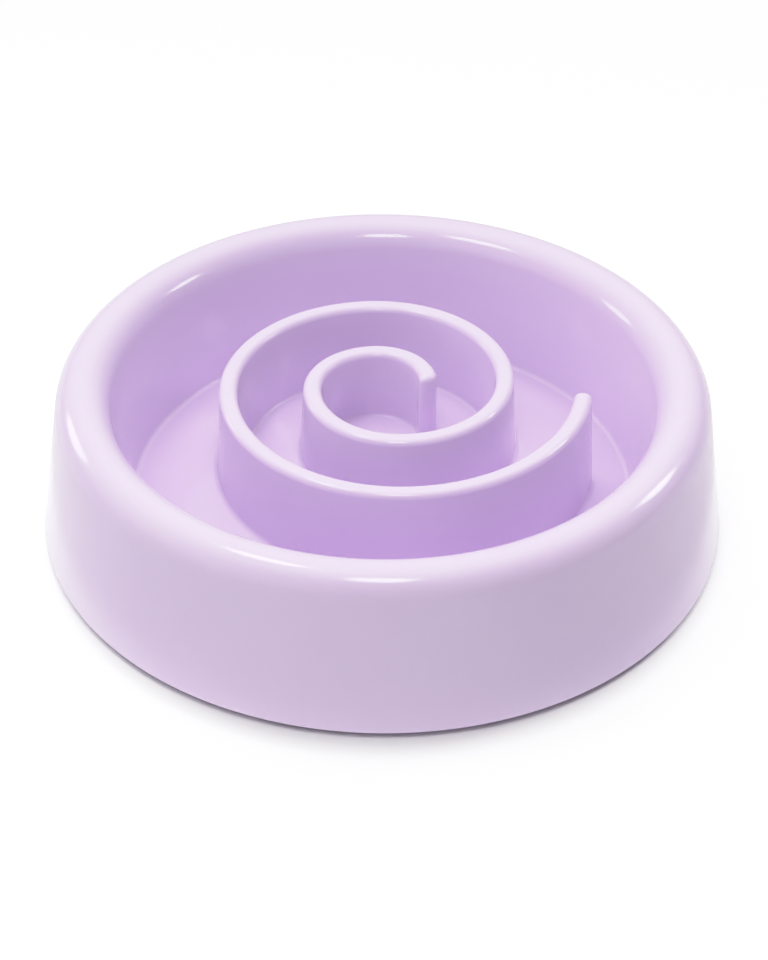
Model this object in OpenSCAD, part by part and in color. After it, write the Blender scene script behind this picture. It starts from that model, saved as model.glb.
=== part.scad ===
// Slow feeder bowl: a round moulded bowl with a broad rolled rim, a skirt that
// leans out to the foot, a crowned floor and one tall spiral ridge that the food
// is scattered around. Four rubber feet are pressed into sockets inside the skirt.
// Millimetres. Z is up, and Z = 0 is the surface that the bowl stands on. The
// origin is on the axis of the bowl. -Y is the front.

/* [Bowl] */
// Outside diameter across the bottom edge of the skirt
base_d = 210; // [200:1:230]
// Height of the rim above the surface that the bowl stands on
rim_h = 50.6; // [48:0.2:54]
// Gap between the bottom edge of the skirt and that surface
skirt_gap = 1.2; // [0.8:0.1:2]
// Lean of the skirt from upright, in degrees
skirt_lean = 8.2; // [6:0.1:10]
// Outer rounding radius of the rim
rim_outer_r = 8.4; // [6:0.1:9]
// Inner rounding radius of the rim
rim_inner_r = 8.3; // [7:0.1:10]
// Lean of the basin wall from upright, in degrees
wall_lean = 8.6; // [7:0.1:12]
// Wall thickness of the moulding
wall_t = 2.8; // [2.2:0.1:3.2]

/* [Floor] */
// Diameter of the line where the basin wall would meet the floor
floor_d = 154.4; // [150:0.2:158]
// Height of the floor at that line
floor_edge_h = 8.8; // [8:0.1:11]
// Height of the crown at the middle of the floor
floor_mid_h = 24.3; // [20:0.1:26]
// Fillet between floor and basin wall
floor_fillet = 1.2; // [0.8:0.1:3]

/* [Spiral ridge] */
// Height of the top of the ridge
ridge_h = 46.2; // [43:0.2:49]
// Thickness of the ridge just under its rounded top edges
ridge_t = 5.7; // [4.7:0.1:6.5]
// Rounding of the two top edges of the ridge, which is flat between them
ridge_edge_r = 2; // [1:0.1:2.2]
// Draft of the sides of the ridge, in degrees
ridge_draft = 3; // [1.5:0.1:4]
// Radius of the first quarter turn, at the middle of the ridge
spiral_r0 = 13.4; // [12:0.1:15]
// Distance between neighbouring turns
spiral_pitch = 25.4; // [22:0.1:26]
// Radius of the inner end, which curls in less than the turns do
inner_end_r = 15.4; // [14:0.1:17]
// Angle at which the ridge starts, on the first quarter turn, in degrees
inner_end_a = 5; // [2:0.5:30]
// Radius of the outer end, which curls in a little more than the turns do
outer_end_r = 56.3; // [54.5:0.1:58]
// Angle that the last quarter turn is cut back to, in degrees
outer_end_a = 80.5; // [45:0.5:85]
// Offset of the centre of the spiral from the axis, along X
spiral_x = 1.4; // [-3:0.1:3]
// Offset of the centre of the spiral from the axis, along Y
spiral_y = 3.7; // [0:0.1:5]

/* [Feet] */
// Radius of the circle that the feet stand on
foot_ring_r = 92.4; // [91:0.1:93.5]
// Diameter of the foot pad
foot_d = 13; // [10:0.5:14]
// Height of the foot pad
foot_h = 2.6; // [2.2:0.1:3.2]
// Diameter of the stem of the foot and of the socket it is pressed into
stem_d = 5; // [4:0.5:6]
// Length of the stem
stem_l = 7.5; // [5:0.5:9]
// Outside diameter of the socket
socket_d = 13; // [11:0.5:14]
// Height of the top of the socket
socket_top = 17; // [14:0.5:20]
// Thickness of the radial web that carries the socket
web_t = 2.4; // [2:0.1:3]
// Height of the top of that web
web_top = 34; // [26:1:38]

/* [Hidden] */
$fn = 128;
lilac = [0.84, 0.76, 0.90];
lilac_deep = [0.78, 0.68, 0.86];
rubber_grey = [0.27, 0.26, 0.29];

// Directions in the section plane, where X is the radius and Y is the height
n_skirt = [cos(skirt_lean), sin(skirt_lean)];     // out of the skirt
n_wall = [-cos(wall_lean), sin(wall_lean)];       // out of the basin wall, to the axis
d_skirt = n_skirt * [base_d / 2, skirt_gap];      // distance of the skirt line
// Centres of the two roundings of the rim, one above the other
crest_r = (d_skirt - rim_outer_r - n_skirt[1] * (rim_h - rim_outer_r)) / n_skirt[0];
c_out = [crest_r, rim_h - rim_outer_r];
c_in = [crest_r, rim_h - rim_inner_r];
d_wall = n_wall * c_in + rim_inner_r;             // distance of the basin wall line
// Sphere of the crowned floor
floor_rise = floor_mid_h - floor_edge_h;
floor_R = (pow(floor_d / 2, 2) + pow(floor_rise, 2)) / (2 * floor_rise);
floor_c = [0, floor_mid_h - floor_R];
// Centre of the fillet between floor and wall, and its angle at the sphere
fillet_a = wall_lean + asin((floor_c[1] * n_wall[1] - d_wall - floor_fillet) / (floor_R + floor_fillet));
n_floor = [sin(fillet_a), cos(fillet_a)];
c_fil = floor_c + (floor_R + floor_fillet) * n_floor;
fillet_in = 0.02;                                 // how far the fillet is cut into the wall where they meet
// Rounded bottom edge of the skirt
edge_z = skirt_gap + wall_t / 2;
c_edge = [(d_skirt - wall_t / 2 - n_skirt[1] * edge_z) / n_skirt[0], edge_z];
// Spiral made of quarter turns. Each turns about its own centre, and its radius is a
// step larger. The first and the last keep the tangent of the turn that they meet.
step = spiral_pitch / 4;
quarters = 8;
function sx(k) = (k % 4 < 2 ? -1 : 1) * step / 2;
function sy(k) = (k % 4 == 0 || k % 4 == 3 ? 1 : -1) * step / 2;
function plain_r(k) = spiral_r0 + step * k;
function radius_of(k) = k == 0 ? inner_end_r : k == quarters - 1 ? outer_end_r : plain_r(k);
function centre_of(k) = [sx(k), sy(k) + (k == 0 ? plain_r(0) - inner_end_r : 0)
                                      + (k == quarters - 1 ? outer_end_r - plain_r(k) : 0)];
function on_ridge(k, a) = centre_of(k) + radius_of(k) * [cos(90 * k + a), sin(90 * k + a)];
top_half = ridge_t / 2;
top_z = ridge_h - ridge_edge_r;
ridge_foot = 8;                                   // the ridge is drawn down to here, then cut by the floor
end_proud = 0.05;                                 // how much wider the round ends are
foot_half = top_half + (top_z - ridge_foot) * tan(ridge_draft);

// Radius of the hidden faces of the skirt and of the basin wall at a height
function skirt_in(z) = (d_skirt - wall_t - n_skirt[1] * z) / n_skirt[0];
function wall_out(z) = (d_wall - wall_t - n_wall[1] * z) / n_wall[0];

// Direction v turned anticlockwise by a degrees
function turned(v, a) = [v[0] * cos(a) - v[1] * sin(a), v[0] * sin(a) + v[1] * cos(a)];

// Ring sector between two radii, from direction a to direction b
module arc_band(c, r1, r2, a, b) {
    k = 3 * r2;
    m = (a + b) / norm(a + b);
    intersection() {
        translate(c) difference() { circle(r = r2); circle(r = r1); }
        polygon([c, c + k * a, c + k * 2 * m, c + k * b]);
    }
}

// Straight slab of the moulding: its outer line from p to q, with its thickness on the side away from n
module slab(p, q, n) polygon([p, q, q - wall_t * n, p - wall_t * n]);

module outer_skirt() color(lilac) rotate_extrude() {
    slab(c_edge + wall_t / 2 * n_skirt, c_out + rim_outer_r * n_skirt, n_skirt);
    intersection() {
        translate(c_edge) circle(r = wall_t / 2);
        polygon([c_edge + 3 * n_skirt, c_edge - 3 * n_skirt, c_edge - 3 * n_skirt - [0, 4], c_edge + 3 * n_skirt - [0, 4]]);
    }
}

module rolled_rim() color(lilac) rotate_extrude() {
    arc_band(c_out, rim_outer_r - wall_t, rim_outer_r, n_skirt, [0, 1]);
    arc_band(c_in, rim_inner_r - wall_t, rim_inner_r, [0, 1], n_wall);
}

module basin_wall() color(lilac) rotate_extrude() difference() {
    polygon(concat(
        [c_in + rim_inner_r * n_wall, c_fil - floor_fillet * n_wall, c_fil],
        [for (i = [0 : 12]) c_fil - (floor_fillet + wall_t) * turned(n_floor, i / 12 * (90 + fillet_a - wall_lean))],
        [c_in + (rim_inner_r - wall_t) * n_wall]));
    translate(c_fil) circle(r = floor_fillet + fillet_in);
}

module basin_floor() color(lilac) rotate_extrude() intersection() {
    translate(floor_c) difference() { circle(r = floor_R); circle(r = floor_R - wall_t); }
    polygon([floor_c, floor_c + 1.1 * floor_R * n_floor, [0, floor_c[1] + 1.2 * floor_R]]);
}

// Section of the ridge about X = 0: straight sides with draft, and a flat top with rounded
// edges. It is g wider all round above its foot.
module ridge_section(g = 0) {
    w = top_half + g;
    e = ridge_edge_r;
    difference() {
        polygon([[-foot_half - g, ridge_foot], [foot_half + g, ridge_foot], [w, top_z + g],
                 [w, ridge_h + g], [-w, ridge_h + g], [-w, top_z + g]]);
        difference() { translate([w - e, top_z + g]) square(e + 1); translate([w - e, top_z + g]) circle(r = e); }
        difference() { translate([-w - 1, top_z + g]) square(e + 1); translate([-w + e, top_z + g]) circle(r = e); }
    }
}

// Round end of the ridge at p: its half section turned about the upright through p
module ridge_end(p) translate([p[0], p[1], 0]) rotate_extrude() intersection() {
    ridge_section(end_proud);
    translate([0, ridge_foot - 1]) square([10, 60]);
}

module spiral_ridge() color(lilac_deep) translate([spiral_x, spiral_y, 0]) difference() {
    union() {
        for (k = [0 : quarters - 1])
            let (c = centre_of(k), a0 = k == 0 ? inner_end_a : 0, a1 = k == quarters - 1 ? outer_end_a : 90)
                translate([c[0], c[1], 0])
                    rotate_extrude(angle = a1 - a0, start = 90 * k + a0)
                        translate([radius_of(k), 0]) ridge_section();
        ridge_end(on_ridge(0, inner_end_a));
        ridge_end(on_ridge(quarters - 1, outer_end_a));
    }
    translate([-spiral_x, -spiral_y, floor_c[1]]) sphere(r = floor_R, $fn = 200);
}

// Space between the skirt and the basin wall, below the rim
module cavity() rotate_extrude() {
    z0 = foot_h;
    z1 = web_top;
    polygon([[wall_out(z0), z0], [skirt_in(z0), z0], [skirt_in(z1), z1], [wall_out(z1), z1]]);
}

module foot_socket(a) color(lilac) rotate([0, 0, a]) difference() {
    intersection() {
        cavity();
        union() {
            translate([foot_ring_r, 0, foot_h]) cylinder(d = socket_d, h = socket_top - foot_h);
            translate([foot_ring_r - 25, -web_t / 2, foot_h + 2.5]) cube([50, web_t, web_top]);
        }
    }
    translate([foot_ring_r, 0, foot_h - 1]) cylinder(d = stem_d, h = stem_l + 2);
}

module rubber_foot(a) color(rubber_grey) rotate([0, 0, a]) translate([foot_ring_r, 0, 0]) {
    cylinder(d1 = foot_d - 1, d2 = foot_d, h = 0.8);
    translate([0, 0, 0.8]) cylinder(d = foot_d, h = foot_h - 0.8);
    translate([0, 0, foot_h]) cylinder(d = stem_d, h = stem_l);
}

outer_skirt();
rolled_rim();
basin_wall();
basin_floor();
spiral_ridge();
foot_socket(45);  // foot_socket_back_right
foot_socket(135);  // foot_socket_back_left
foot_socket(225);  // foot_socket_front_left
foot_socket(315);  // foot_socket_front_right
rubber_foot(45);  // rubber_foot_back_right
rubber_foot(135);  // rubber_foot_back_left
rubber_foot(225);  // rubber_foot_front_left
rubber_foot(315);  // rubber_foot_front_right
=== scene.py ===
import bpy
import math
from math import sin, cos, tan, radians, degrees, pi, sqrt, asin, hypot
from mathutils import Matrix, Vector


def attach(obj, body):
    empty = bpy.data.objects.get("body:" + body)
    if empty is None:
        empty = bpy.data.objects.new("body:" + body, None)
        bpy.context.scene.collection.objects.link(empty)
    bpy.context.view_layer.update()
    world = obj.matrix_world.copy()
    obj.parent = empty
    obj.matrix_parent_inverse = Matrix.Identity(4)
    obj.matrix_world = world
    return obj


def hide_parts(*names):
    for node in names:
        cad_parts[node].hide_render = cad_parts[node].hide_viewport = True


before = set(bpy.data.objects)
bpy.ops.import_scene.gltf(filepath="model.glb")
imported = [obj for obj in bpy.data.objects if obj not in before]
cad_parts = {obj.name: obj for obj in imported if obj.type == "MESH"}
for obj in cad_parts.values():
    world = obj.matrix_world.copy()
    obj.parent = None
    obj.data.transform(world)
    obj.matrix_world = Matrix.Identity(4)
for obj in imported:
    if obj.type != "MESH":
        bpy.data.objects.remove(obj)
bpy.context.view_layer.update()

MM = 0.001

# ------------------------------------------------------------------ sizes, in millimetres, as in the construction
BASE_R, RIM_H, GAP = 105.0, 50.6, 1.2
SKIRT_LEAN, WALL_LEAN = radians(8.2), radians(8.6)
R_OUT, R_IN, WALL = 8.4, 8.3, 2.8
FLOOR_R0, FLOOR_Z0, FLOOR_Z1, FILLET = 77.2, 8.8, 24.3, 1.2
RIDGE_H, RIDGE_T, RIDGE_EDGE, DRAFT = 46.2, 5.7, 2.0, radians(3.0)
R0, PITCH, IN_R, IN_A, OUT_R, OUT_A = 13.4, 25.4, 15.4, 5.0, 56.3, 80.5
SPX, SPY = 1.4, 3.7
FOOT_RING, FOOT_D, FOOT_H, STEM_D, STEM_L = 92.4, 13.0, 2.6, 5.0, 7.5

n_skirt = (cos(SKIRT_LEAN), sin(SKIRT_LEAN))
n_wall = (-cos(WALL_LEAN), sin(WALL_LEAN))
dot = lambda a, b: a[0] * b[0] + a[1] * b[1]
d_skirt = dot(n_skirt, (BASE_R, GAP))
crest_r = (d_skirt - R_OUT - n_skirt[1] * (RIM_H - R_OUT)) / n_skirt[0]
c_out = (crest_r, RIM_H - R_OUT)
c_in = (crest_r, RIM_H - R_IN)
d_wall = dot(n_wall, c_in) + R_IN
rise = FLOOR_Z1 - FLOOR_Z0
SPH = (FLOOR_R0 ** 2 + rise ** 2) / (2 * rise)
SPH_Z = FLOOR_Z1 - SPH
fil_a = WALL_LEAN + asin((SPH_Z * n_wall[1] - d_wall - FILLET) / (SPH + FILLET))
n_floor = (sin(fil_a), cos(fil_a))
c_fil = ((SPH + FILLET) * n_floor[0], SPH_Z + (SPH + FILLET) * n_floor[1])
edge_z = GAP + WALL / 2
c_edge = ((d_skirt - WALL / 2 - n_skirt[1] * edge_z) / n_skirt[0], edge_z)


def floor_z(x, y):
    """Height of the crowned floor."""
    return SPH_Z + sqrt(max(SPH * SPH - x * x - y * y, 0.0))


# ------------------------------------------------------------------ mesh helpers
def new_object(name, verts, faces, material, smooth=True):
    me = bpy.data.meshes.new(name)
    me.from_pydata([(x * MM, y * MM, z * MM) for x, y, z in verts], [], faces)
    me.validate()
    me.polygons.foreach_set("use_smooth", [smooth] * len(me.polygons))
    me.materials.append(material)
    ob = bpy.data.objects.new(name, me)
    bpy.context.scene.collection.objects.link(ob)
    return ob


def lathe(profile, n, centre=(0.0, 0.0)):
    """Turns a profile of (radius, height) about the vertical axis through centre. Radius 0 gives one point."""
    verts, rows, faces = [], [], []
    for r, z in profile:
        if r < 1e-9:
            rows.append([len(verts)] * n)
            verts.append((centre[0], centre[1], z))
        else:
            rows.append(list(range(len(verts), len(verts) + n)))
            verts += [(centre[0] + r * cos(2 * pi * i / n), centre[1] + r * sin(2 * pi * i / n), z) for i in range(n)]
    for a, b in zip(rows, rows[1:]):
        for i in range(n):
            j = (i + 1) % n
            q = [a[i], a[j], b[j], b[i]]
            f = []
            for v in q:
                if v not in f:
                    f.append(v)
            if len(f) > 2:
                faces.append(f)
    return verts, faces


def arc(c, r, a0, a1, n):
    """Points on an arc about c from angle a0 to a1, both ends included."""
    return [(c[0] + r * cos(a0 + (a1 - a0) * i / n), c[1] + r * sin(a0 + (a1 - a0) * i / n)) for i in range(n + 1)]


def angle(v):
    return math.atan2(v[1], v[0])


# ------------------------------------------------------------------ the bowl's moulding, as one skin
def bowl_profile():
    """Section of the moulding, from the middle of the floor over the rim and back underneath."""
    p = []
    # crowned floor, from the middle to the fillet
    k = 44
    p += [(SPH * sin(fil_a * i / k), SPH_Z + SPH * cos(fil_a * i / k)) for i in range(k + 1)]
    # fillet to the basin wall
    a0 = angle((-n_floor[0], -n_floor[1]))
    a1 = angle((-n_wall[0], -n_wall[1]))
    p += arc(c_fil, FILLET, a0, a1, 10)[1:]
    # basin wall up to the rim
    top = (c_in[0] + R_IN * n_wall[0], c_in[1] + R_IN * n_wall[1])
    lo = p[-1]
    p += [(lo[0] + (top[0] - lo[0]) * i / 8, lo[1] + (top[1] - lo[1]) * i / 8) for i in range(1, 8)]
    # rim, inner and outer rounding
    p += arc(c_in, R_IN, angle(n_wall), pi / 2, 26)
    p += arc(c_out, R_OUT, pi / 2, angle(n_skirt), 20)[1:]
    # skirt down to its rounded bottom edge
    hi = p[-1]
    lo = (c_edge[0] + WALL / 2 * n_skirt[0], c_edge[1] + WALL / 2 * n_skirt[1])
    p += [(hi[0] + (lo[0] - hi[0]) * i / 12, hi[1] + (lo[1] - hi[1]) * i / 12) for i in range(1, 12)]
    p += arc(c_edge, WALL / 2, angle(n_skirt), angle(n_skirt) - pi, 14)
    # inside of the skirt, under the rim, outside of the basin wall, underside of the floor
    lo = p[-1]
    hi = (c_out[0] + (R_OUT - WALL) * n_skirt[0], c_out[1] + (R_OUT - WALL) * n_skirt[1])
    p += [(lo[0] + (hi[0] - lo[0]) * i / 10, lo[1] + (hi[1] - lo[1]) * i / 10) for i in range(1, 10)]
    p += arc(c_out, R_OUT - WALL, angle(n_skirt), pi / 2, 10)
    p += arc(c_in, R_IN - WALL, pi / 2, angle(n_wall), 14)[1:]
    hi = p[-1]
    lo = (c_fil[0] - (FILLET + WALL) * n_wall[0], c_fil[1] - (FILLET + WALL) * n_wall[1])
    p += [(hi[0] + (lo[0] - hi[0]) * i / 10, hi[1] + (lo[1] - hi[1]) * i / 10) for i in range(1, 10)]
    p += arc(c_fil, FILLET + WALL, a1, a0, 12)
    k = 30
    s = SPH - WALL
    p += [(s * sin(fil_a * (1 - i / k)), SPH_Z + s * cos(fil_a * (1 - i / k))) for i in range(1, k + 1)]
    p[0] = (0.0, p[0][1])
    p[-1] = (0.0, p[-1][1])
    return p


# ------------------------------------------------------------------ the spiral ridge
def spiral_path(spacing=0.8):
    """Middle line of the ridge in plan: points and unit tangents, from the inner end outward."""
    step = PITCH / 4
    out = []
    for k in range(8):
        plain = R0 + step * k
        r = IN_R if k == 0 else OUT_R if k == 7 else plain
        cx = (-1 if k % 4 < 2 else 1) * step / 2
        cy = (1 if k % 4 in (0, 3) else -1) * step / 2
        cy += (plain - IN_R if k == 0 else 0) + (OUT_R - plain if k == 7 else 0)
        a0 = radians(90 * k + (IN_A if k == 0 else 0))
        a1 = radians(90 * k + (OUT_A if k == 7 else 90))
        n = max(8, round(r * (a1 - a0) / spacing))
        for i in range(0 if k == 0 else 1, n + 1):
            a = a0 + (a1 - a0) * i / n
            out.append(((SPX + cx + r * cos(a), SPY + cy + r * sin(a)), (-sin(a), cos(a))))
    return out


def end_cap(h, square, reach, n_line=3, n_arc=8, n_face=4):
    """Half outline round an end, as (along, across) from +h to -h, without its first and last point.
    square is 1 for a flat end with sharp corners and 0 for a half circle. It never goes further along than
    reach, so that the face of an end stays upright."""
    rc = h * (1 - square)
    pts = [((h - rc) * i / n_line, h) for i in range(n_line + 1)]
    pts += [(h - rc + rc * sin(pi / 2 * i / n_arc), h - rc + rc * cos(pi / 2 * i / n_arc)) for i in range(1, n_arc + 1)]
    pts += [(h, (h - rc) * (1 - 2 * i / n_face)) for i in range(1, n_face)]
    k = min(h, reach) / h
    pts = [(x * k, y) for x, y in pts]
    return pts[1:] + [(x, -y) for x, y in reversed(pts[1:n_line + n_arc + 1])]


FOOT_FILLET = 1.1
SLANT = 1.7


def ridge_mesh():
    """The ridge as closed rings round its plan outline: buried foot, foot fillet, drafted side, rounded crest."""
    path = spiral_path()
    top_half = RIDGE_T / 2
    top_z = RIDGE_H - RIDGE_EDGE
    sq_in, sq_out = 0.12, 0.15
    inner = path[0][0]

    def half_at(z, x, y):
        # the inner end stands upright: its draft fades out over the last few millimetres
        k = min(max((hypot(x - inner[0], y - inner[1]) - 2.5) / 9.0, 0.0), 1.0)
        return top_half + max(top_z - z, 0.0) * tan(DRAFT) * k * k * (3 - 2 * k)

    def outline(half_of):
        """Ring of (x, y, z): half_of(x, y) gives the half thickness and the height at a plan position."""
        ring = []

        def put(base, direction):
            # two rounds, since the floor's height depends on where the point lands
            h, z = half_of(*base)
            for _ in range(2):
                x = base[0] + direction(h)[0]
                y = base[1] + direction(h)[1]
                h, z = half_of(x, y)
            x = base[0] + direction(h)[0]
            y = base[1] + direction(h)[1]
            ring.append((x, y, z))

        for (p, t) in path:                                   # left side, outward along the path
            put(p, lambda h, t=t: (-t[1] * h, t[0] * h))
        p, t = path[-1]
        m = len(end_cap(1.0, sq_out, 1.0))
        for i in range(m):
            put(p, lambda h, i=i: (t[0] * end_cap(h, sq_out, top_half)[i][0] - t[1] * end_cap(h, sq_out, top_half)[i][1],
                                   t[1] * end_cap(h, sq_out, top_half)[i][0] + t[0] * end_cap(h, sq_out, top_half)[i][1]))
        for (p2, t2) in reversed(path):                       # right side, back to the inner end
            put(p2, lambda h, t2=t2: (t2[1] * h, -t2[0] * h))
        p, t = path[0]
        for i in range(m):
            put(p, lambda h, i=i: (-t[0] * end_cap(h, sq_in, top_half)[i][0] + t[1] * end_cap(h, sq_in, top_half)[i][1],
                                   -t[1] * end_cap(h, sq_in, top_half)[i][0] - t[0] * end_cap(h, sq_in, top_half)[i][1]))
        return ring

    f = FOOT_FILLET
    rings = []
    rings.append(outline(lambda x, y: (half_at(floor_z(x, y) + f, x, y) + f + 0.2, floor_z(x, y) - 1.3)))
    rings.append(outline(lambda x, y: (half_at(floor_z(x, y) + f, x, y) + f + 0.3, floor_z(x, y) - 0.25)))
    n = 9
    for i in range(n + 1):
        a = pi / 2 * (1 - i / n)
        rings.append(outline(lambda x, y: (half_at(floor_z(x, y) + f, x, y) + f * (1 - cos(a)), floor_z(x, y) + 0.01 + f * (1 - sin(a)))))
    n = 7
    for i in range(1, n + 1):
        def side(x, y, i=i):
            z0 = floor_z(x, y) + f
            z = z0 + (top_z - z0) * i / n
            return half_at(z, x, y), z
        rings.append(outline(side))
    n = 10
    for i in range(1, n + 1):
        a = pi / 2 * i / n
        rings.append(outline(lambda x, y: (top_half - RIDGE_EDGE * (1 - cos(a)), top_z + RIDGE_EDGE * sin(a))))
    for part in (0.8, 0.4):
        rings.append(outline(lambda x, y: (part * (top_half - RIDGE_EDGE), RIDGE_H)))

    verts = [v for ring in rings for v in ring]
    size = len(rings[0])
    faces = []
    for k in range(len(rings) - 1):
        for i in range(size):
            j = (i + 1) % size
            faces.append((k * size + i, k * size + j, (k + 1) * size + j, (k + 1) * size + i))
    # both ends of the stack close on the middle line
    n = len(path)
    m = (size - 2 * n) // 2
    for k, z_of in ((0, lambda x, y: floor_z(x, y) - 1.3), (len(rings) - 1, lambda x, y: RIDGE_H)):
        base = k * size
        mid = len(verts)
        verts += [(p[0], p[1], z_of(p[0], p[1])) for p, _ in path]
        part = []
        for i in range(n - 1):
            part.append((base + i, base + i + 1, mid + i + 1, mid + i))
            a = base + n + m + (n - 1 - i)
            part.append((a - 1, a, mid + i, mid + i + 1))
        loop = [base + n - 1 + i for i in range(m + 2)]
        part += [(a, b, mid + n - 1) for a, b in zip(loop, loop[1:])]
        loop = [base + 2 * n + m - 1 + i for i in range(m + 1)] + [base]
        part += [(a, b, mid) for a, b in zip(loop, loop[1:])]
        faces += [tuple(reversed(q)) for q in part] if k == 0 else part
    # the face of the inner end is cut at a slant: its outer side stops short of its inner side
    step = PITCH / 4
    cx, cy = SPX - step / 2, SPY + step / 2 + R0 - IN_R

    def slant(x, y, z):
        r, a = hypot(x - cx, y - cy), degrees(math.atan2(y - cy, x - cx))
        if not (IN_R - 6 < r < IN_R + 6 and -40 < a < 50):
            return x, y, z
        k = min(max((IN_A + 42 - a) / 42, 0.0), 1.0)
        a = radians(a) + k * k * (3 - 2 * k) * (0.3 + SLANT * (r - IN_R + RIDGE_T / 2) / RIDGE_T) / r
        return cx + r * cos(a), cy + r * sin(a), z

    verts = [slant(*v) for v in verts]
    # the rings run clockwise or anticlockwise: make the faces point outward
    return verts, [tuple(reversed(q)) for q in faces]


# ------------------------------------------------------------------ feet
def foot_profile():
    r, s = FOOT_D / 2, STEM_D / 2
    p = [(0.0, 0.45), (1.2, 0.45), (1.45, 0.3)]
    p += [(1.7, 0.05), (2.0, 0.0), (2.9, 0.0), (3.15, 0.12), (3.35, 0.4), (3.65, 0.4), (3.85, 0.12), (4.1, 0.0)]
    p += [(r - 0.9, 0.0)] + arc((r - 0.8, 0.8), 0.8, -pi / 2, 0, 7)
    p += [(r, FOOT_H - 0.4)] + arc((r - 0.3, FOOT_H - 0.3), 0.3, 0, pi / 2, 4)
    p += [(s + 0.3, FOOT_H), (s, FOOT_H + 0.02), (s, FOOT_H + STEM_L - 0.8), (s - 0.8, FOOT_H + STEM_L), (0.0, FOOT_H + STEM_L)]
    return p


# ------------------------------------------------------------------ materials
def node_material(name):
    m = bpy.data.materials.new(name)
    m.use_nodes = True
    nt = m.node_tree
    nt.nodes.clear()
    out = nt.nodes.new("ShaderNodeOutputMaterial")
    b = nt.nodes.new("ShaderNodeBsdfPrincipled")
    nt.links.new(b.outputs[0], out.inputs["Surface"])
    return m, nt, b


def srgb(r, g, b):
    f = lambda c: c / 12.92 if c <= 0.04045 else ((c + 0.055) / 1.055) ** 2.4
    return (f(r / 255), f(g / 255), f(b / 255), 1.0)


LILAC = (0.757, 0.612, 0.855)


def plastic():
    m, nt, b = node_material("lilac_plastic")
    N, L = nt.nodes.new, nt.links.new
    co = N("ShaderNodeTexCoord")
    # slow clouding of the pigment
    cloud = N("ShaderNodeTexNoise")
    cloud.inputs["Scale"].default_value = 28.0
    cloud.inputs["Detail"].default_value = 3.0
    L(co.outputs["Object"], cloud.inputs["Vector"])
    ramp = N("ShaderNodeValToRGB")
    ramp.color_ramp.elements[0].position = 0.3
    ramp.color_ramp.elements[1].position = 0.7
    c = LILAC
    ramp.color_ramp.elements[0].color = (c[0] * 0.99, c[1] * 0.985, c[2] * 0.995, 1)
    ramp.color_ramp.elements[1].color = (min(c[0] * 1.01, 1), c[1] * 1.015, min(c[2] * 1.005, 1), 1)
    L(cloud.outputs["Fac"], ramp.inputs["Fac"])
    L(ramp.outputs["Color"], b.inputs["Base Color"])
    # polish that varies a little over the mould
    pol = N("ShaderNodeTexNoise")
    pol.inputs["Scale"].default_value = 160.0
    pol.inputs["Detail"].default_value = 4.0
    L(co.outputs["Object"], pol.inputs["Vector"])
    mr = N("ShaderNodeMapRange")
    mr.inputs["From Min"].default_value = 0.3
    mr.inputs["From Max"].default_value = 0.7
    mr.inputs["To Min"].default_value = 0.10
    mr.inputs["To Max"].default_value = 0.14
    L(pol.outputs["Fac"], mr.inputs["Value"])
    L(mr.outputs["Result"], b.inputs["Roughness"])
    # fine grain and a hint of waviness
    grain = N("ShaderNodeTexNoise")
    grain.inputs["Scale"].default_value = 2600.0
    grain.inputs["Detail"].default_value = 2.0
    L(co.outputs["Object"], grain.inputs["Vector"])
    wave = N("ShaderNodeTexNoise")
    wave.inputs["Scale"].default_value = 24.0
    wave.inputs["Detail"].default_value = 1.0
    L(co.outputs["Object"], wave.inputs["Vector"])
    b1 = N("ShaderNodeBump")
    b1.inputs["Strength"].default_value = 0.15
    b1.inputs["Distance"].default_value = 0.000004
    L(grain.outputs["Fac"], b1.inputs["Height"])
    b2 = N("ShaderNodeBump")
    b2.inputs["Strength"].default_value = 0.3
    b2.inputs["Distance"].default_value = 0.00008
    L(wave.outputs["Fac"], b2.inputs["Height"])
    L(b1.outputs["Normal"], b2.inputs["Normal"])
    L(b2.outputs["Normal"], b.inputs["Normal"])
    b.inputs["IOR"].default_value = 1.49
    b.inputs["Subsurface Weight"].default_value = 0.12
    b.inputs["Subsurface Radius"].default_value = (1.0, 0.8, 1.1)
    b.inputs["Subsurface Scale"].default_value = 0.0025
    return m


def rubber():
    m, nt, b = node_material("grey_rubber")
    N, L = nt.nodes.new, nt.links.new
    co = N("ShaderNodeTexCoord")
    mottle = N("ShaderNodeTexNoise")
    mottle.inputs["Scale"].default_value = 420.0
    mottle.inputs["Detail"].default_value = 5.0
    L(co.outputs["Object"], mottle.inputs["Vector"])
    ramp = N("ShaderNodeValToRGB")
    ramp.color_ramp.elements[0].color = (0.045, 0.043, 0.05, 1)
    ramp.color_ramp.elements[1].color = (0.075, 0.072, 0.082, 1)
    L(mottle.outputs["Fac"], ramp.inputs["Fac"])
    L(ramp.outputs["Color"], b.inputs["Base Color"])
    mr = N("ShaderNodeMapRange")
    mr.inputs["To Min"].default_value = 0.62
    mr.inputs["To Max"].default_value = 0.85
    L(mottle.outputs["Fac"], mr.inputs["Value"])
    L(mr.outputs["Result"], b.inputs["Roughness"])
    bump = N("ShaderNodeBump")
    bump.inputs["Strength"].default_value = 0.4
    bump.inputs["Distance"].default_value = 0.00004
    L(mottle.outputs["Fac"], bump.inputs["Height"])
    L(bump.outputs["Normal"], b.inputs["Normal"])
    return m


lilac = plastic()
grey = rubber()

verts, faces = lathe(bowl_profile(), 384)
bowl = new_object("bowl_moulding", verts, [tuple(reversed(f)) for f in faces], lilac)
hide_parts("outer_skirt", "rolled_rim", "basin_wall", "basin_floor")
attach(bowl, "root")

verts, faces = ridge_mesh()
ridge = new_object("spiral_ridge_moulded", verts, faces, lilac)
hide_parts("spiral_ridge")
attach(ridge, "root")

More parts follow.
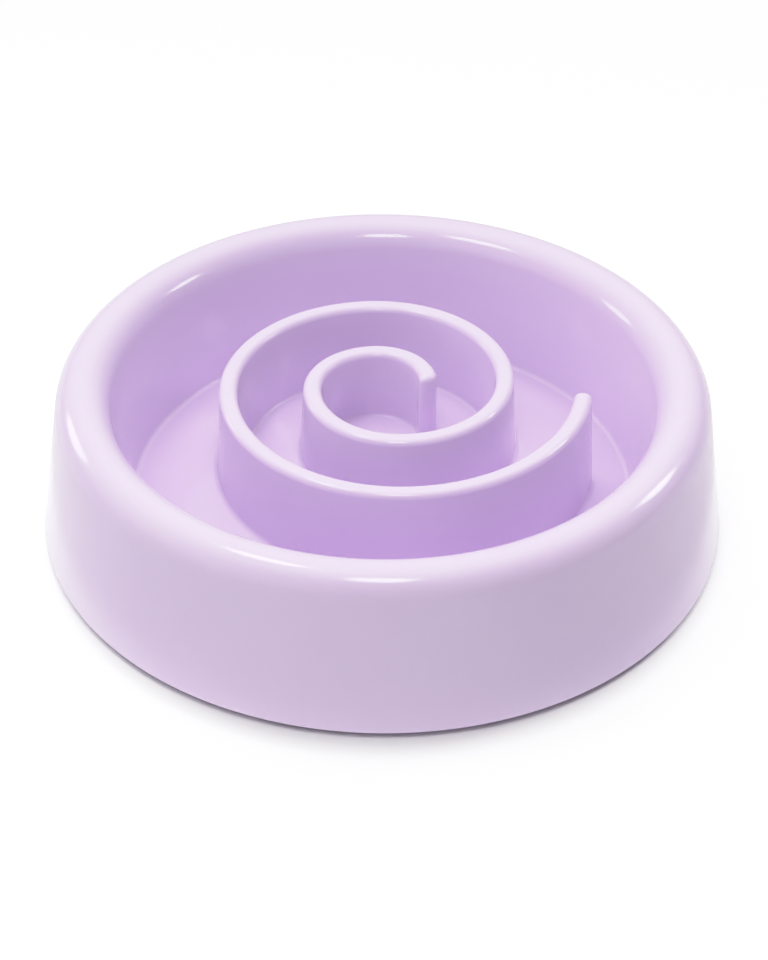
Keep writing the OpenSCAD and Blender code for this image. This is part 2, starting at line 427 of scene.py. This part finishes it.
for corner, a in (("back_right", 45), ("back_left", 135), ("front_left", 225), ("front_right", 315)):
    at = (FOOT_RING * cos(radians(a)), FOOT_RING * sin(radians(a)))
    verts, faces = lathe(foot_profile(), 64, at)
    foot = new_object("foot_" + corner, verts, faces, grey)
    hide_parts("rubber_foot_" + corner)
    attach(foot, "root")
    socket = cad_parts["foot_socket_" + corner]
    for s in socket.material_slots:
        s.material = lilac

# ------------------------------------------------------------------ floor
def floor_disc(name, z):
    """White table top as a disc, with its material's node tree."""
    m, nt, b = node_material(name)
    b.inputs["Base Color"].default_value = (0.9, 0.9, 0.9, 1)
    b.inputs["Roughness"].default_value = 0.9
    b.inputs["Specular IOR Level"].default_value = 0.0
    me = bpy.data.meshes.new(name)
    n = 96
    me.from_pydata([(0, 0, z)] + [(4.0 * cos(2 * pi * i / n), 4.0 * sin(2 * pi * i / n), z) for i in range(n)], [],
                   [(0, 1 + i, 1 + (i + 1) % n) for i in range(n)])
    me.materials.append(m)
    o = bpy.data.objects.new(name, me)
    bpy.context.scene.collection.objects.link(o)
    return o, nt, b


def studio_floor():
    """The table that is seen glows from just outside the bowl, so that it comes out white. The glow fades out towards
    the skirt, more at the front than at the back, so the ring left round the bowl is darkened partly by its real shade
    and partly as painted shade. The one that lights the bowl lies just under it, and glows only in a narrow ring round
    the skirt's foot."""
    seen, nt, b = floor_disc("studio_floor", 0.0)
    N, L = nt.nodes.new, nt.links.new
    b.inputs["Emission Color"].default_value = (1, 1, 1, 1)
    co = N("ShaderNodeTexCoord")
    away = N("ShaderNodeVectorMath")
    away.operation = "DISTANCE"
    away.inputs[1].default_value = (0.0, -0.008, 0.0)
    L(co.outputs["Object"], away.inputs[0])
    # painted shade: the glow rises from nothing at 97.5 mm to full at 106.5 mm from a point 8 mm in front of the
    # middle, so the floor stays dim only near the front of the skirt
    ramp = N("ShaderNodeMapRange")
    ramp.interpolation_type = "SMOOTHSTEP"
    ramp.inputs["From Min"].default_value = 0.0975
    ramp.inputs["From Max"].default_value = 0.1065
    ramp.inputs["To Min"].default_value = 0.0
    ramp.inputs["To Max"].default_value = 0.46
    L(away.outputs["Value"], ramp.inputs["Value"])
    L(ramp.outputs["Result"], b.inputs["Emission Strength"])
    seen.visible_diffuse = seen.visible_glossy = seen.visible_transmission = seen.visible_shadow = False
    bounce, nt, b = floor_disc("studio_floor_bounce", -0.0002)
    N, L = nt.nodes.new, nt.links.new
    b.inputs["Emission Color"].default_value = (1, 1, 1, 1)
    co = N("ShaderNodeTexCoord")
    away = N("ShaderNodeVectorMath")
    away.operation = "LENGTH"
    L(co.outputs["Object"], away.inputs[0])
    ring = N("ShaderNodeValToRGB")
    ring.color_ramp.elements[0].position, ring.color_ramp.elements[0].color = 0.0, (0, 0, 0, 1)
    ring.color_ramp.elements[1].position, ring.color_ramp.elements[1].color = 1.0, (0, 0, 0, 1)
    for at, level in ((0.2, 0.0), (0.3, 0.5), (0.6, 0.5)):
        e = ring.color_ramp.elements.new(at)
        e.color = (level, level, level, 1)
    span = N("ShaderNodeMapRange")
    span.inputs["From Min"].default_value = 0.100
    span.inputs["From Max"].default_value = 0.122
    L(away.outputs["Value"], span.inputs["Value"])
    L(span.outputs["Result"], ring.inputs["Fac"])
    L(ring.outputs["Color"], b.inputs["Emission Strength"])
    bounce.visible_camera = False


studio_floor()


def backdrop():
    """Pale dome far behind everything, which only the camera sees, so that low views have no dark horizon."""
    m = bpy.data.materials.new("backdrop")
    m.use_nodes = True
    nt = m.node_tree
    nt.nodes.clear()
    glow = nt.nodes.new("ShaderNodeEmission")
    glow.inputs["Strength"].default_value = 1.45
    nt.links.new(glow.outputs[0], nt.nodes.new("ShaderNodeOutputMaterial").inputs["Surface"])
    verts, faces = lathe([(3.98 * cos(pi / 2 * i / 24), 3.98 * sin(pi / 2 * i / 24)) for i in range(24)] + [(0.0, 3.98)], 96)
    me = bpy.data.meshes.new("backdrop")
    me.from_pydata(verts, [], faces)
    me.materials.append(m)
    o = bpy.data.objects.new("backdrop", me)
    bpy.context.scene.collection.objects.link(o)
    o.visible_diffuse = o.visible_glossy = o.visible_transmission = o.visible_shadow = False


backdrop()

# ------------------------------------------------------------------ light
# A soft dome: each row is (height above the horizon, spread, levels of the soft lamps spaced evenly round,
# first direction), in degrees. 0 is the right of the picture, 90 the back, 180 the left and 270 the camera's side.
DOME = [
    (90, 17, 0, (1.12,)),
    (62, 16, 0, (0.0, 1.25, 1.12, 0.75, 0.0, 0.0)),
    (37, 15, 18, (0.0, 0.42, 0.82, 0.25, 0.38, 0.4, 0.0, 0.0, 0.0, 0.0)),
    (14, 13, 0, (0.0, 0.24, 0.68, 0.55, 0.33, 0.5, 0.95, 0.6, 0.58, 0.28)),
]
# Small lamps that give the gloss its highlights: (place in millimetres, diameter in millimetres, brightness)
LAMPS = [
    ((0, -163, 324), 85, 11.0),
    ((270, 60, 225), 80, 10.0),
    ((-88, -7, 289), 70, 9.0),
    ((-330, 160, 170), 110, 5.5),
]


def dome():
    w = bpy.data.worlds.new("soft_dome")
    bpy.context.scene.world = w
    w.use_nodes = True
    nt = w.node_tree
    bg = nt.nodes["Background"]
    bg.inputs["Color"].default_value = (1, 1, 1, 1)
    co = nt.nodes.new("ShaderNodeTexCoord")
    total = None
    for elev, spread, first, levels in DOME:
        for i, level in enumerate(levels):
            if level <= 0:
                continue
            e, a = radians(elev), radians(first + 360.0 * i / len(levels))
            d = nt.nodes.new("ShaderNodeVectorMath")
            d.operation = "DOT_PRODUCT"
            d.inputs[1].default_value = (cos(e) * cos(a), cos(e) * sin(a), sin(e))
            nt.links.new(co.outputs["Generated"], d.inputs[0])
            k = 1 / radians(spread) ** 2
            m = nt.nodes.new("ShaderNodeMath")
            m.operation = "MULTIPLY_ADD"
            m.inputs[1].default_value = k
            m.inputs[2].default_value = -k + math.log(level)
            nt.links.new(d.outputs["Value"], m.inputs[0])
            x = nt.nodes.new("ShaderNodeMath")
            x.operation = "EXPONENT"
            nt.links.new(m.outputs[0], x.inputs[0])
            if total is None:
                total = x.outputs[0]
            else:
                s = nt.nodes.new("ShaderNodeMath")
                s.operation = "ADD"
                nt.links.new(total, s.inputs[0])
                nt.links.new(x.outputs[0], s.inputs[1])
                total = s.outputs[0]
    nt.links.new(total, bg.inputs["Strength"])


def lamps():
    for k, (place, wide, bright) in enumerate(LAMPS):
        d = bpy.data.lights.new("lamp_%d" % k, "AREA")
        d.shape = "DISK"
        d.size = wide * MM
        d.energy = bright * pi * pi * (wide * MM / 2) ** 2
        o = bpy.data.objects.new("lamp_%d" % k, d)
        v = Vector(place) * MM
        o.matrix_world = Matrix.Translation(v) @ (v - Vector((0, 0, 0.03))).to_track_quat("Z", "Y").to_matrix().to_4x4()
        o.visible_camera = False
        bpy.context.scene.collection.objects.link(o)


dome()
lamps()

# ------------------------------------------------------------------ camera
F_PX, ELEV, DIST, ROLL, PX, PY = 2400.0, 37.998, 0.752263, 0.49, 382.705, 504.02


def fitted_camera():
    e = radians(ELEV)
    place = Vector((0, -cos(e), sin(e))) * DIST
    forward = -place.normalized()
    right = Vector((1, 0, 0))
    up = right.cross(forward)
    rows = Matrix((right, -up, forward))
    a = math.atan2(PX - 384.0, F_PX)
    b = math.atan2(PY - 480.0, F_PX)
    r = radians(ROLL)
    ry = Matrix(((cos(a), 0, sin(a)), (0, 1, 0), (-sin(a), 0, cos(a))))
    rx = Matrix(((1, 0, 0), (0, cos(b), sin(b)), (0, -sin(b), cos(b))))
    rz = Matrix(((cos(r), -sin(r), 0), (sin(r), cos(r), 0), (0, 0, 1)))
    m = rz @ rx @ ry @ rows
    turn = Matrix((m[0], -m[1], -m[2])).transposed()
    cam = bpy.data.cameras.new("camera")
    cam.sensor_width = 36.0
    cam.lens = F_PX * 36.0 / 960.0
    cam.clip_start, cam.clip_end = 0.01, 50.0
    o = bpy.data.objects.new("camera", cam)
    o.matrix_world = Matrix.Translation(place + Vector((0, 0, 0.0012))) @ turn.to_4x4()
    bpy.context.scene.collection.objects.link(o)
    bpy.context.scene.camera = o
    return o


fitted_camera()

scene = bpy.context.scene
scene.view_settings.view_transform = "Standard"
scene.view_settings.look = "None"
scene.view_settings.exposure = 0.0
scene.view_settings.gamma = 1.0
# bright tones roll off to white, as they do in the photograph
CURVE = [(0.0, 0.0), (0.2, 0.2), (0.4, 0.4), (0.6, 0.6), (0.72, 0.712), (0.85, 0.80), (1.045, 0.887), (1.19, 0.943),
         (1.3, 0.985), (1.4, 1.0)]
scene.view_settings.use_curve_mapping = True
cm = scene.view_settings.curve_mapping
white = CURVE[-1][0]
cm.white_level = (white, white, white)
pts = cm.curves[3].points
pts[0].location = (0.0, 0.0)
pts[len(pts) - 1].location = (1.0, 1.0)
for x, y in CURVE[1:-1]:
    pts.new(x / white, y)
cm.update()
